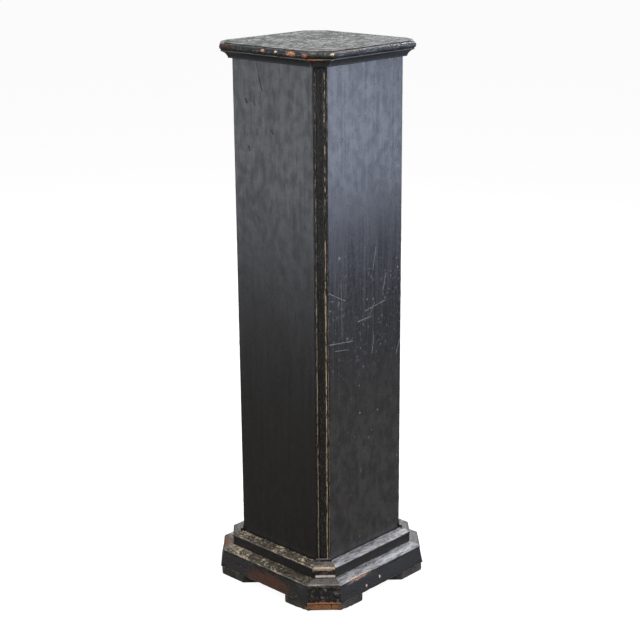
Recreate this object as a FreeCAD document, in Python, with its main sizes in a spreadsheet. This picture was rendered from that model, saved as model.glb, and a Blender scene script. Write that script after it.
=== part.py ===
"""Display plinth: a hollow square pillar with clipped corners on a stepped, mitred base.

Frame: +Z up, origin on the floor under the middle of the pillar, millimetres.
The front is -Y and the right side is +X. Every ring of the plinth (top board, cornice,
pillar, step, plinth frame, feet) is a square with its four corners clipped: its "half" is
the distance from the axis to a flat side, and its "clip" is the width of a clipped corner.
Mouldings of one ring keep a constant overhang all round, so all their ends are 22.5 degree
mitres and a corner piece has the same section as the long ones beside it.
"""
import FreeCAD, Part
import math
import os

import Sketcher

PARTS_FOLDER = "parts"
MITRE = math.sqrt(2) - 1

# Driving dimensions in millimetres: alias, value, what it is.
DIMENSIONS = [
    ("total_height", 1100, "floor to the top surface"),
    ("shaft_half", 124, "axis to the outer face of a shaft board"),
    ("shaft_clip", 27, "width of the reeded face at a shaft corner"),
    ("board_thickness", 16, "shaft boards"),
    ("board_end_gap", 0.3, "glue gap between a shaft board and the posts beside it"),
    ("post_shoulder", 24, "how far a post reaches behind the boards"),
    ("reed_edge", 1.4, "post corner to the first quirk"),
    ("reed_width", 4.2, "bead at each side of a post's face"),
    ("reed_rise", 0.5, "how far the reeds' crown stands below a half round"),
    ("quirk_width", 1.3, "groove beside a bead"),
    ("quirk_depth", 1.6, "depth of the grooves"),
    ("top_overhang", 27, "shaft face to the nose of the top board"),
    ("top_clip_extra", 5.6, "how much wider the top's clip is than the shaft's mitre makes it"),
    ("top_nosing_thickness", 11.7, "rounded edge of the top board"),
    ("top_nosing_round", 5.6, "radius of the rounded edge"),
    ("top_field_rise", 1.6, "raised field inside the rounded edge"),
    ("top_field_inset", 10, "nose to the raised field"),
    ("cornice_height", 16.7, "moulding under the top board"),
    ("cornice_overhang", 21.5, "shaft face to the cornice fillet"),
    ("cornice_fillet", 3.4, "flat band at the top of the cornice"),
    ("cornice_fillet_step", 1.2, "fillet to the start of the hollow"),
    ("cornice_hollow_radius", 19, "hollow of the cornice"),
    ("cornice_foot_overhang", 6, "shaft face to the cornice's lowest edge"),
    ("cornice_foot_round", 2.6, "rounded lower edge of the cornice"),
    ("bulkhead_thickness", 22, "boards that close the two ends of the shaft"),
    ("foot_height", 20, "feet under the plinth frame"),
    ("foot_setback", 2.4, "lower edge of the plinth frame to the outer side of a foot"),
    ("foot_width", 156, "foot across the diagonal"),
    ("foot_length", 112, "foot along the diagonal"),
    ("foot_edge_round", 5, "worn lower edge of a foot"),
    ("frame_height", 43, "plinth frame, feet to its top"),
    ("frame_overhang", 21.8, "nose of the step to the nose of the plinth frame"),
    ("frame_clip_extra", 1.9, "how much wider the frame's clip is than the step's mitre makes it"),
    ("frame_flare", 5.6, "nose to the lower edge of the sloping board"),
    ("frame_nose_drop", 33, "height of the sloping board below the nose"),
    ("frame_nose_lip", 1.4, "nose to the top of the sloping board"),
    ("frame_nose_flat", 1.6, "upright band at the nose"),
    ("frame_ledge", 4, "flat beside the step, before the thumb moulding"),
    ("frame_round_run", 6, "width of the nose's small round"),
    ("frame_round_drop", 5.6, "height of the nose's small round"),
    ("frame_round_radius", 6.4, "radius of the nose's small round"),
    ("thumb_radius", 42, "shallow crown of the thumb mouldings"),
    ("base_board_thickness", 20, "board inside the plinth frame that carries the shaft"),
    ("base_board_margin", 14, "shaft face to the edge of the base board"),
    ("step_height", 28, "step moulding round the foot of the shaft"),
    ("step_overhang", 23, "shaft face to the nose of the step moulding"),
    ("step_gap", 1.2, "paint gap between the shaft and the step moulding"),
    ("step_nose_lift", 18.4, "height of the step's plain face"),
    ("step_nose_lip", 1, "nose to the step's plain face"),
    ("step_nose_flat", 1.8, "upright band at the nose"),
    ("step_round_run", 5, "width of the nose's small round"),
    ("step_round_drop", 4.8, "height of the nose's small round"),
    ("step_round_radius", 5.6, "radius of the nose's small round"),
    ("packer_overhang", 7, "small fillet at the foot of each corner post"),
    ("packer_rise", 5.5, "how far that fillet stands above the step"),
    ("glue_block_leg", 58, "side of a glue block along the plinth frame"),
    ("screw_radius", 2.2, "shank of the wood screws"),
    ("screw_head_radius", 4.3, "countersunk head"),
    ("screw_head_height", 2.4, "countersunk head"),
    ("screw_tip", 5, "pointed end of a screw"),
    ("screw_hole_clearance", 0.15, "screw to the wall of its hole, and past its tip"),
    ("foot_screw_cover", 3, "base board to the tips of the foot screws"),
    ("foot_screw_outwards", 11, "inner face of a frame corner to a foot's outer screw"),
    ("foot_screw_inwards", 25, "inner face of a frame corner to a foot's inner screw"),
    ("foot_screw_sink", 4, "how deep the heads sit in the feet"),
    ("board_screw_length", 32, "top and base screws, head to tip"),
    ("board_screw_inset", 38, "clipped corner of a bulkhead to a top or base screw"),
    ("cut_spare", 3, "how far a mitre cut runs past the moulding"),
]

# Which way each side and each corner faces, in degrees anticlockwise from +X.
SIDES = {"right": 0, "back": 90, "left": 180, "front": 270}
CORNERS = {"back_right": 45, "back_left": 135, "front_left": 225, "front_right": 315}

document = FreeCAD.newDocument("DisplayPlinth")
sub_parts = []


class Size:
    """A length together with the sheet expression that drives it."""

    def __init__(self, value, text):
        self.value = value
        self.text = text

    def __add__(self, other):
        other = as_size(other)
        return Size(self.value + other.value, f"({self.text} + {other.text})")

    def __sub__(self, other):
        other = as_size(other)
        return Size(self.value - other.value, f"({self.text} - {other.text})")

    def __mul__(self, factor):
        return Size(self.value * factor, f"({self.text} * {factor})")

    def __neg__(self):
        return self * -1


def as_size(number):
    """Let a plain number stand where a driven length is expected."""
    return number if isinstance(number, Size) else Size(number, str(number))


def fill_sheet():
    """Write the driving dimensions and return them by alias."""
    sheet = document.addObject("Spreadsheet::Sheet", "Sizes")
    sizes = {}
    for row, (alias, value, note) in enumerate(DIMENSIONS, start=1):
        sheet.set(f"A{row}", alias)
        sheet.set(f"B{row}", str(value))
        sheet.set(f"C{row}", note)
        sheet.setAlias(f"B{row}", alias)
        sizes[alias] = Size(value, f"Sizes.{alias}")
    document.recompute()
    return sizes


SIZE = fill_sheet()


# ---------------------------------------------------------------- sketches and features

def new_body(label, turn=0):
    """A body whose own +X side is turned to face the given way."""
    body = document.addObject("PartDesign::Body", label)
    body.Label = label
    body.Placement = FreeCAD.Placement(FreeCAD.Vector(), FreeCAD.Rotation(FreeCAD.Vector(0, 0, 1), turn))
    sub_parts.append(body)
    return body


def origin_plane(body, role):
    """One of the body's own origin planes."""
    return next(feature for feature in body.Origin.OriginFeatures if feature.Role == role)


def arc_between(start, end, radius, side):
    """The arc from start to end with its centre on the left (side 1) or right (side -1)."""
    chord = end - start
    height = math.sqrt(radius ** 2 - (chord.Length / 2) ** 2)
    across = FreeCAD.Vector(-chord.y, chord.x, 0).normalize()
    centre = (start + end) / 2 + across * height * side
    circle = Part.Circle(centre, FreeCAD.Vector(0, 0, 1), radius)
    first, last = (start, end) if side > 0 else (end, start)
    angles = [math.atan2(point.y - centre.y, point.x - centre.x) for point in (first, last)]
    return Part.ArcOfCircle(circle, angles[0], angles[1])


def drive(sketch, kind, geometry, size):
    """Add a dimension to the sketch and bind it to the sheet."""
    index = sketch.addConstraint(Sketcher.Constraint(kind, *geometry, size.value))
    sketch.setExpression(f"Constraints[{index}]", size.text)


def place_point(sketch, edge, end, across, up):
    """Fix the end of an edge at driven distances from the sketch's origin."""
    for kind, axis, size in (("DistanceX", -2, across), ("DistanceY", -1, up)):
        if isinstance(size, Size):
            drive(sketch, kind, (-1, 1, edge, end), size)
        else:
            sketch.addConstraint(Sketcher.Constraint("PointOnObject", edge, end, axis))


def draw_outline(sketch, corners):
    """Close an outline. A corner is (across, up) or (across, up, radius, side): an arc leaves it."""
    points = [FreeCAD.Vector(as_size(c[0]).value, as_size(c[1]).value, 0) for c in corners]
    starts = []
    for index, corner in enumerate(corners):
        start, end = points[index], points[(index + 1) % len(points)]
        if len(corner) == 2:
            edge = sketch.addGeometry(Part.LineSegment(start, end), False)
            starts.append((edge, 1, 2))
        else:
            radius, side = corner[2:]
            edge = sketch.addGeometry(arc_between(start, end, radius.value, side), False)
            starts.append((edge, 1, 2) if side > 0 else (edge, 2, 1))
            drive(sketch, "Radius", (edge,), radius)
    for index, corner in enumerate(corners):
        edge, begin, _ = starts[index]
        before, _, finish = starts[index - 1]
        sketch.addConstraint(Sketcher.Constraint("Coincident", before, finish, edge, begin))
        place_point(sketch, edge, begin, corner[0], corner[1])


def draw_circle(sketch, across, up, radius):
    """A circle with a driven place and size."""
    centre = FreeCAD.Vector(as_size(across).value, as_size(up).value, 0)
    edge = sketch.addGeometry(Part.Circle(centre, FreeCAD.Vector(0, 0, 1), radius.value), False)
    drive(sketch, "Radius", (edge,), radius)
    place_point(sketch, edge, 3, across, up)


def new_sketch(body, name, role, offset=None):
    """A sketch on one of the body's origin planes, moved along the plane's normal."""
    sketch = body.newObject("Sketcher::SketchObject", f"{body.Label}_{name}")
    sketch.AttachmentSupport = [(origin_plane(body, role), "")]
    sketch.MapMode = "FlatFace"
    if offset is not None:
        sketch.setExpression("AttachmentOffset.Base.z", as_size(offset).text)
    return sketch


def pad(body, sketch, length, name="pad"):
    """Pad a sketch along its normal."""
    feature = body.newObject("PartDesign::Pad", f"{body.Label}_{name}")
    feature.Profile = sketch
    feature.setExpression("Length", length.text)
    return feature


def pocket(body, sketch, depth, name="pocket"):
    """Cut a sketch into the body, along the sketch's normal."""
    feature = body.newObject("PartDesign::Pocket", f"{body.Label}_{name}")
    feature.Profile = sketch
    feature.Reversed = True
    feature.setExpression("Length", depth.text)
    return feature


def level_faces(feature, heights):
    """Names of the feature's flat faces that lie level at the given heights."""
    names = []
    for number, face in enumerate(feature.Shape.Faces, start=1):
        box = face.BoundBox
        level = box.ZLength < 1e-6 and any(abs(box.ZMin - height) < 1e-6 for height in heights)
        if level:
            names.append(f"Face{number}")
    return names


def round_faces(body, feature, heights, radius):
    """Round the edges of the feature's level faces at the given heights."""
    document.recompute()
    fillet = body.newObject("PartDesign::Fillet", f"{body.Label}_round")
    fillet.Base = (feature, level_faces(feature, heights))
    fillet.setExpression("Radius", radius.text)
    return fillet


# ---------------------------------------------------------------- geometry of the rings

def clip_line(half, clip):
    """Axis to the clipped corner, measured along the diagonal."""
    return half * math.sqrt(2) - clip * 0.5


def flat_half(half, clip):
    """Half the length of a flat side between two clipped corners."""
    return half - clip * math.sqrt(0.5)


def clip_at(half, reference_half, reference_clip):
    """Clip of the ring at another overhang of the same mitred moulding."""
    return reference_clip + (half - reference_half) * (2 * MITRE)


def octagon(half, clip):
    """Corners of a square with clipped corners, anticlockwise."""
    flat = flat_half(half, clip)
    return [
        (half, -flat), (half, flat), (flat, half), (-flat, half),
        (-half, flat), (-half, -flat), (-flat, -half), (flat, -half),
    ]


def octagon_board(label, half, clip, bottom, thickness):
    """A flat board that fills one ring."""
    body = new_body(label)
    sketch = new_sketch(body, "plan", "XY_Plane", bottom)
    draw_outline(sketch, octagon(half, clip))
    pad(body, sketch, thickness)
    return body


def screw_holes(body, places, bottom, depth, radius, name="screw_holes"):
    """Holes upwards from a level, at places given in the body's own plan."""
    sketch = new_sketch(body, name, "XY_Plane", bottom)
    for across, along in places:
        draw_circle(sketch, across, along, radius)
    return pocket(body, sketch, depth, name + "_cut")


def screw_seats(body, places, bottom, depth, sink):
    """Holes for whole screws: a shank hole, and a wider one that the head sinks into."""
    screw_holes(body, places, bottom, depth, screw_hole_radius)
    head_radius = SIZE["screw_head_radius"] + SIZE["screw_hole_clearance"]
    head_depth = SIZE["screw_head_height"] + SIZE["screw_hole_clearance"] + sink
    screw_holes(body, places, bottom, head_depth, head_radius, "head_holes")


def mitred_length(label, turn, section, inner, outer, half_length):
    """A moulding whose ends are mitred so that half_length is reached at its outer line."""
    body = new_body(label, turn)
    spare = SIZE["cut_spare"]
    reach = half_length + spare
    profile = new_sketch(body, "section", "XZ_Plane", -reach)
    draw_outline(profile, section)
    pad(body, profile, reach * 2)
    inside, outside = inner - spare, outer + spare
    half_inside = half_length - (outer - inside) * MITRE
    half_outside = half_length + spare * MITRE
    far = reach + spare
    mitres = new_sketch(body, "mitres", "XY_Plane")
    for way in (1, -1):
        draw_outline(mitres, [
            (inside, half_inside * way), (outside, half_outside * way),
            (outside, far * way), (inside, far * way),
        ])
    pocket(body, mitres, SIZE["total_height"] + spare, "mitre_cuts")
    return body


def mitred_ring(name, section, inner, outer, half, clip):
    """Four long mouldings and four corner pieces round the axis, mitred together.

    section(shift) gives the outline with every distance from the axis moved out by shift.
    """
    outer_clip = clip_at(outer, half, clip)
    corner_shift = clip_line(half, clip) - half
    long_half = flat_half(outer, outer_clip)
    for side, turn in SIDES.items():
        mitred_length(f"{name}_{side}", turn, section(as_size(0)), inner, outer, long_half)
    for corner, turn in CORNERS.items():
        mitred_length(
            f"{name}_corner_{corner}", turn, section(corner_shift),
            inner + corner_shift, outer + corner_shift, outer_clip * 0.5,
        )


# ---------------------------------------------------------------- shared levels and rings

frame_top = SIZE["foot_height"] + SIZE["frame_height"]
shaft_bottom = frame_top
shaft_top = SIZE["total_height"] - SIZE["top_field_rise"] - SIZE["top_nosing_thickness"]
shaft_height = shaft_top - shaft_bottom
shaft_inner_half = SIZE["shaft_half"] - SIZE["board_thickness"]
shaft_flat = flat_half(SIZE["shaft_half"], SIZE["shaft_clip"])
shaft_clip_line = clip_line(SIZE["shaft_half"], SIZE["shaft_clip"])
post_inner_flat = shaft_flat - SIZE["post_shoulder"]
bulkhead_clip = (shaft_inner_half - post_inner_flat) * math.sqrt(2)

top_half = SIZE["shaft_half"] + SIZE["top_overhang"]
top_clip = clip_at(top_half, SIZE["shaft_half"], SIZE["shaft_clip"]) + SIZE["top_clip_extra"]
step_half = SIZE["shaft_half"] + SIZE["step_overhang"]
step_clip = clip_at(step_half, SIZE["shaft_half"], SIZE["shaft_clip"])
frame_half = step_half + SIZE["frame_overhang"]
frame_clip = clip_at(frame_half, step_half, step_clip) + SIZE["frame_clip_extra"]
frame_inner_half = SIZE["shaft_half"] + SIZE["base_board_margin"]
frame_inner_clip = clip_at(frame_inner_half, frame_half, frame_clip)
frame_inner_line = clip_line(frame_inner_half, frame_inner_clip)

base_board_bottom = frame_top - SIZE["base_board_thickness"]

screw_hole_radius = SIZE["screw_radius"] + SIZE["screw_hole_clearance"]
foot_screw_length = base_board_bottom - SIZE["foot_screw_cover"] - SIZE["foot_screw_sink"]
foot_screw_outer = frame_inner_line + SIZE["foot_screw_outwards"]
foot_screw_inner = frame_inner_line - SIZE["foot_screw_inwards"]
foot_screw_top = SIZE["foot_screw_sink"] + foot_screw_length + SIZE["screw_hole_clearance"]
foot_screw_bite = foot_screw_top - SIZE["foot_height"]
board_screw_reach = clip_line(shaft_inner_half, bulkhead_clip) - SIZE["board_screw_inset"]
diagonal_reach = board_screw_reach * math.sqrt(0.5)
board_screw_places = [(diagonal_reach * x, diagonal_reach * y) for x in (1, -1) for y in (1, -1)]


# ---------------------------------------------------------------- the sub-parts

def make_top_board():
    """Board with a rounded nosing, a raised field and pilot holes for the top screws."""
    body = octagon_board("top_board", top_half, top_clip, shaft_top, SIZE["top_nosing_thickness"])
    nosing_top = shaft_top + SIZE["top_nosing_thickness"]
    heights = (shaft_top.value, nosing_top.value)
    round_faces(body, body.Tip, heights, SIZE["top_nosing_round"])
    field_half = top_half - SIZE["top_field_inset"]
    field = new_sketch(body, "field", "XY_Plane", nosing_top)
    draw_outline(field, octagon(field_half, clip_at(field_half, top_half, top_clip)))
    pad(body, field, SIZE["top_field_rise"], "field_pad")
    bite = SIZE["board_screw_length"] - SIZE["bulkhead_thickness"] + SIZE["screw_hole_clearance"]
    screw_holes(body, board_screw_places, shaft_top, bite, screw_hole_radius)


def cornice_section(shift):
    """Fillet, hollow and rounded lower edge, under the top board and against the shaft."""
    back = SIZE["shaft_half"] + shift
    fillet = back + SIZE["cornice_overhang"]
    hollow_top = fillet - SIZE["cornice_fillet_step"]
    fillet_bottom = shaft_top - SIZE["cornice_fillet"]
    bottom = shaft_top - SIZE["cornice_height"]
    foot = back + SIZE["cornice_foot_overhang"]
    foot_round = SIZE["cornice_foot_round"]
    return [
        (back, bottom),
        (foot, bottom, foot_round, 1),
        (foot + foot_round, bottom + foot_round, SIZE["cornice_hollow_radius"], -1),
        (hollow_top, fillet_bottom),
        (fillet, fillet_bottom),
        (fillet, shaft_top),
        (back, shaft_top),
    ]


def make_cornice():
    """Four mouldings and four corner pieces under the top board."""
    outer = SIZE["shaft_half"] + SIZE["cornice_overhang"]
    mitred_ring("cornice", cornice_section, SIZE["shaft_half"], outer,
                SIZE["shaft_half"], SIZE["shaft_clip"])


def make_shaft_boards():
    """Four long boards between the corner posts."""
    width = (shaft_flat - SIZE["board_end_gap"]) * 2
    for side, turn in SIDES.items():
        board = document.addObject("Part::Box", f"shaft_board_{side}")
        board.Label = f"shaft_board_{side}"
        board.setExpression("Length", SIZE["board_thickness"].text)
        board.setExpression("Width", width.text)
        board.setExpression("Height", shaft_height.text)
        board.Placement.Rotation = FreeCAD.Rotation(FreeCAD.Vector(0, 0, 1), turn)
        cosine = round(math.cos(math.radians(turn)))
        sine = round(math.sin(math.radians(turn)))
        corner_y = -(width * 0.5)
        board.setExpression(".Placement.Base.x", (shaft_inner_half * cosine - corner_y * sine).text)
        board.setExpression(".Placement.Base.y", (shaft_inner_half * sine + corner_y * cosine).text)
        board.setExpression(".Placement.Base.z", shaft_bottom.text)
        sub_parts.append(board)


def reeded_face():
    """Half of a post's clipped face, from its middle outwards: field, quirk, bead, quirk."""
    face = shaft_clip_line
    floor = face - SIZE["quirk_depth"]
    outer_quirk = SIZE["shaft_clip"] * 0.5 - SIZE["reed_edge"]
    bead_outer = outer_quirk - SIZE["quirk_width"]
    bead_inner = bead_outer - SIZE["reed_width"]
    inner_quirk = bead_inner - SIZE["quirk_width"]
    bead_radius = SIZE["reed_width"] * 0.5 + SIZE["reed_rise"]
    return [
        (face, inner_quirk),
        (floor, bead_inner, bead_radius, 1),
        (floor, bead_outer),
        (face, outer_quirk),
        (face, SIZE["shaft_clip"] * 0.5),
    ]


def mirrored(corners):
    """The other half of an outline, back across its middle line; an arc keeps its radius."""
    back = []
    for index, corner in reversed(list(enumerate(corners))):
        arc = corners[index - 1][2:] if index else ()
        back.append((corner[0], -corner[1]) + arc)
    return back


def make_corner_posts():
    """Four rebated posts with a beaded face; the boards lie on their shoulders."""
    to_diagonal = math.sqrt(0.5)
    rebate = SIZE["board_thickness"] * to_diagonal
    half_clip = SIZE["shaft_clip"] * 0.5
    shoulder_root = (shaft_clip_line - rebate, half_clip - rebate)
    shoulder_tip = (
        (shaft_inner_half + post_inner_flat) * to_diagonal,
        (shaft_inner_half - post_inner_flat) * to_diagonal,
    )
    half_plan = reeded_face() + [shoulder_root, shoulder_tip]
    for corner, turn in CORNERS.items():
        body = new_body(f"corner_post_{corner}", turn)
        sketch = new_sketch(body, "plan", "XY_Plane", shaft_bottom)
        draw_outline(sketch, half_plan + mirrored(half_plan))
        pad(body, sketch, shaft_height)


def make_bulkheads():
    """Boards that close both ends of the shaft and take the screws."""
    thickness = SIZE["bulkhead_thickness"]
    top = octagon_board("top_bulkhead", shaft_inner_half, bulkhead_clip, shaft_top - thickness, thickness)
    screw_seats(top, board_screw_places, shaft_top - thickness, thickness, 0)
    bottom = octagon_board("bottom_bulkhead", shaft_inner_half, bulkhead_clip, shaft_bottom, thickness)
    bite = SIZE["board_screw_length"] - SIZE["base_board_thickness"] + SIZE["screw_hole_clearance"]
    screw_holes(bottom, board_screw_places, shaft_bottom, bite, screw_hole_radius)


def thumb_moulding(inner, nose, top, nose_bottom, kind):
    """Upper curve of a base moulding: a shallow crown that turns down to an upright nose."""
    run, drop = SIZE[f"{kind}_round_run"], SIZE[f"{kind}_round_drop"]
    nose_top = nose_bottom + SIZE[f"{kind}_nose_flat"]
    return [
        (nose, nose_bottom),
        (nose, nose_top, SIZE[f"{kind}_round_radius"], 1),
        (nose - run, nose_top + drop, SIZE["thumb_radius"], 1),
        (inner, top),
    ]


def step_section(shift):
    """Plain face with a thumb moulding over it, planted round the foot of the shaft."""
    back = SIZE["shaft_half"] + SIZE["step_gap"] + shift
    nose = step_half + shift
    face = nose - SIZE["step_nose_lip"]
    nose_bottom = frame_top + SIZE["step_nose_lift"]
    top = frame_top + SIZE["step_height"]
    return [
        (back, frame_top), (face, frame_top), (face, nose_bottom),
    ] + thumb_moulding(back, nose, top, nose_bottom, "step")


def step_corner_section(shift):
    """The step's section with a small fillet standing against the post above it."""
    outline = step_section(shift)
    back = SIZE["shaft_half"] + SIZE["step_gap"] + shift
    fillet = SIZE["shaft_half"] + SIZE["packer_overhang"] + shift
    top = frame_top + SIZE["step_height"]
    fillet_top = top + SIZE["packer_rise"]
    return outline[:-1] + [(fillet, top), (fillet, fillet_top), (back, fillet_top)]


def make_step():
    """Step moulding round the shaft: four lengths and four taller corner blocks."""
    inner = SIZE["shaft_half"] + SIZE["step_gap"]
    shift = clip_line(step_half, step_clip) - step_half
    for side, turn in SIDES.items():
        mitred_length(f"step_{side}", turn, step_section(as_size(0)), inner, step_half,
                      flat_half(step_half, step_clip))
    for corner, turn in CORNERS.items():
        mitred_length(f"step_corner_{corner}", turn, step_corner_section(shift),
                      inner + shift, step_half + shift, step_clip * 0.5)


def frame_section(shift):
    """Thumb moulding over a board that slopes outwards to its lower edge."""
    back = frame_inner_half + shift
    nose = frame_half + shift
    bottom = SIZE["foot_height"]
    nose_bottom = bottom + SIZE["frame_nose_drop"]
    ledge = step_half + SIZE["frame_ledge"] + shift
    return [
        (back, bottom),
        (nose + SIZE["frame_flare"], bottom),
        (nose - SIZE["frame_nose_lip"], nose_bottom),
    ] + thumb_moulding(ledge, nose, frame_top, nose_bottom, "frame") + [(back, frame_top)]


def make_frame():
    """Plinth frame: four rails and four corner blocks."""
    outer = frame_half + SIZE["frame_flare"]
    mitred_ring("frame", frame_section, frame_inner_half, outer, frame_half, frame_clip)


def make_base_board():
    """Board inside the plinth frame, flush with its top."""
    thickness = SIZE["base_board_thickness"]
    board = octagon_board("base_board", frame_inner_half, frame_inner_clip, base_board_bottom, thickness)
    screw_seats(board, board_screw_places, base_board_bottom, thickness, 0)


def make_glue_blocks():
    """Blocks in the inner corners of the plinth frame, between the feet and the base board."""
    line = frame_inner_line
    half_clip = frame_inner_clip * 0.5
    leg = SIZE["glue_block_leg"] * math.sqrt(0.5)
    height = base_board_bottom - SIZE["foot_height"]
    for corner, turn in CORNERS.items():
        body = new_body(f"glue_block_{corner}", turn)
        sketch = new_sketch(body, "plan", "XY_Plane", SIZE["foot_height"])
        draw_outline(sketch, [
            (line, -half_clip), (line, half_clip),
            (line - leg, half_clip + leg), (line - leg, -(half_clip + leg)),
        ])
        pad(body, sketch, height)
        screw_holes(body, [(foot_screw_inner, 0)], SIZE["foot_height"], foot_screw_bite, screw_hole_radius)


def make_feet():
    """Four blocks set across the corners, clipped as the frame is, with worn lower edges."""
    foot_half = frame_half + SIZE["frame_flare"] - SIZE["foot_setback"]
    clip = clip_at(foot_half, frame_half, frame_clip)
    end = clip_line(foot_half, clip)
    inner_end = end - SIZE["foot_length"]
    half_width = SIZE["foot_width"] * 0.5
    shoulder = end - (half_width - clip * 0.5)
    for corner, turn in CORNERS.items():
        body = new_body(f"foot_{corner}", turn)
        sketch = new_sketch(body, "plan", "XY_Plane")
        draw_outline(sketch, [
            (end, clip * -0.5), (end, clip * 0.5), (shoulder, half_width),
            (inner_end, half_width), (inner_end, -half_width),
            (shoulder, -half_width),
        ])
        block = pad(body, sketch, SIZE["foot_height"])
        round_faces(body, block, (0,), SIZE["foot_edge_round"])
        places = [(foot_screw_outer, 0), (foot_screw_inner, 0)]
        screw_seats(body, places, None, SIZE["foot_height"], SIZE["foot_screw_sink"])


def drill_frame_corners():
    """Pilot holes for the outer foot screws, up into the frame's corner blocks."""
    for corner in CORNERS:
        body = document.getObject(f"frame_corner_{corner}")
        screw_holes(body, [(foot_screw_outer, 0)], SIZE["foot_height"], foot_screw_bite, screw_hole_radius)


def screw(place, head_level, length):
    """A wood screw standing point up, its head's flat side at head_level."""
    shank = SIZE["screw_radius"].value
    head = SIZE["screw_head_radius"].value
    head_height = SIZE["screw_head_height"].value
    tip = SIZE["screw_tip"].value
    outline = [
        (0, 0), (head, 0), (shank, head_height), (shank, length - tip), (0, length),
    ]
    points = [FreeCAD.Vector(radius, 0, level) for radius, level in outline]
    face = Part.Face(Part.makePolygon(points + points[:1]))
    solid = face.revolve(FreeCAD.Vector(), FreeCAD.Vector(0, 0, 1), 360)
    solid.translate(FreeCAD.Vector(place[0], place[1], head_level))
    return solid


def screw_set(label, places, head_level, length):
    """A set of equal screws as one group of separate solids."""
    group = document.addObject("Part::Feature", label)
    group.Label = label
    group.Shape = Part.makeCompound([screw(place, head_level, length) for place in places])
    group.Placement = FreeCAD.Placement()
    sub_parts.append(group)


def make_screws():
    """Screws through the feet, the base board and the top bulkhead."""
    foot_places = [
        (reach.value * math.cos(math.radians(turn)), reach.value * math.sin(math.radians(turn)))
        for turn in CORNERS.values() for reach in (foot_screw_outer, foot_screw_inner)
    ]
    board_places = [(x.value, y.value) for x, y in board_screw_places]
    length = SIZE["board_screw_length"].value
    screw_set("foot_screws", foot_places, SIZE["foot_screw_sink"].value, foot_screw_length.value)
    screw_set("base_screws", board_places, base_board_bottom.value, length)
    screw_set("top_screws", board_places, (shaft_top - SIZE["bulkhead_thickness"]).value, length)


def check_document():
    """Stop before writing if any object failed or any sub-part's shape is unusable."""
    for item in document.Objects:
        if "Invalid" in item.State or "Error" in item.State:
            raise RuntimeError(f"{item.Name} failed: {item.State}")
    for part in sub_parts:
        if part.Shape.isNull() or not part.Shape.isValid():
            raise RuntimeError(f"{part.Label} has no valid shape")


def write_parts():
    """Write each sub-part to its own STEP file."""
    os.makedirs(PARTS_FOLDER, exist_ok=True)
    for part in sub_parts:
        part.Shape.exportStep(f"{PARTS_FOLDER}/{part.Label}.step")
        print(part.Label, round(part.Shape.Volume), len(part.Shape.Solids))


make_top_board()
make_cornice()
make_shaft_boards()
make_corner_posts()
make_bulkheads()
make_step()
make_frame()
make_base_board()
make_glue_blocks()
make_feet()
drill_frame_corners()
make_screws()
document.recompute()
check_document()
write_parts()
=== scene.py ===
"""Ebonised display plinth: its worn, black-painted looks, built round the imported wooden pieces."""

import functools
import math

import bmesh
import bpy
from bpy.props import FloatProperty, FloatVectorProperty, PointerProperty
from mathutils import Matrix, Vector, noise


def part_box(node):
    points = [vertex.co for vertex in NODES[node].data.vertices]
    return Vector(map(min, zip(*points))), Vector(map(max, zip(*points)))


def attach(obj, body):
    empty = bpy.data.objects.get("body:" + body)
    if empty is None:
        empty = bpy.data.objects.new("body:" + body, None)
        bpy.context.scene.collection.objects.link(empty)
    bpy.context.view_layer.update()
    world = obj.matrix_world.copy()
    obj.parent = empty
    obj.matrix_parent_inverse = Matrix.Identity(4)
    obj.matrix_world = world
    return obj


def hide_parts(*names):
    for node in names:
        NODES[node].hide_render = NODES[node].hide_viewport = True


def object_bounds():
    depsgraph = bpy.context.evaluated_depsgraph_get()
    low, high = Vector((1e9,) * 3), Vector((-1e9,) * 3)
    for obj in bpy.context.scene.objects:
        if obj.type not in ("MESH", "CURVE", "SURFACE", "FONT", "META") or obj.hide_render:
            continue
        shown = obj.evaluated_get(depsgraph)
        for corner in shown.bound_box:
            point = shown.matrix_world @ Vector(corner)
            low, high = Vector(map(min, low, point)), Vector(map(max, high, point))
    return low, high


bl_info = {
    "name": "Ebonised plinth",
    "version": (1, 0),
    "blender": (4, 5, 0),
    "location": "3D View > Sidebar > Plinth",
    "description": "Worn ebonised finish for the wooden pieces of a display plinth",
    "category": "Object",
}

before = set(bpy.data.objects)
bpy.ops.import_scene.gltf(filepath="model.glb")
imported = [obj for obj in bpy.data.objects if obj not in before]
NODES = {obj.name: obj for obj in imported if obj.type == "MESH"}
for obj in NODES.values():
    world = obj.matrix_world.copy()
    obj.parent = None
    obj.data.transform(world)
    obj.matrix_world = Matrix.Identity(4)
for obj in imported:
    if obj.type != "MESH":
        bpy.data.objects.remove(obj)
CAD_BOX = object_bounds()

MM = 0.001

# Width of the camera's sensor in millimetres, and half the floor's width in metres.
SENSOR_WIDTH = 36
FLOOR_HALF_WIDTH = 24

# Which way each side and each corner piece faces, in degrees anticlockwise from +X.
SIDES = {"right": 0, "back": 90, "left": 180, "front": 270}
CORNERS = {"back_right": 45, "back_left": 135, "front_left": 225, "front_right": 315}

# How bare wood looks as wear goes deeper: tones that a worn patch is given.
STAINED, BROWN, FRESH, CHALKY = 0.0, 0.4, 0.7, 1.0

# Corners of a mesh that are closer than this are one corner.
WELD = 0.01 * MM

# Angles between two faces: below the first they are one flat face, above the second age has
# rounded their edge, and above the third it still shades as a crease.
FLAT_ANGLE = math.radians(1)
ARRIS_ANGLE = math.radians(32)
CREASE_ANGLE = math.radians(50)

# Edge length of the mesh in a bare patch.
PATCH_CELL = 2.2 * MM

# Spacing in millimetres of the hollows on a face, of the two sizes of nick on an edge and of the
# ragged points round a bare patch.
HOLLOW_SPACING = 70
NICK_SPACING = 11
CHIP_SPACING = 4
RIM_SPACING = 5

# How far apart the pieces lie in the grain's own space, in millimetres, so that no two look alike.
GRAIN_STEP = 400.0

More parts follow.
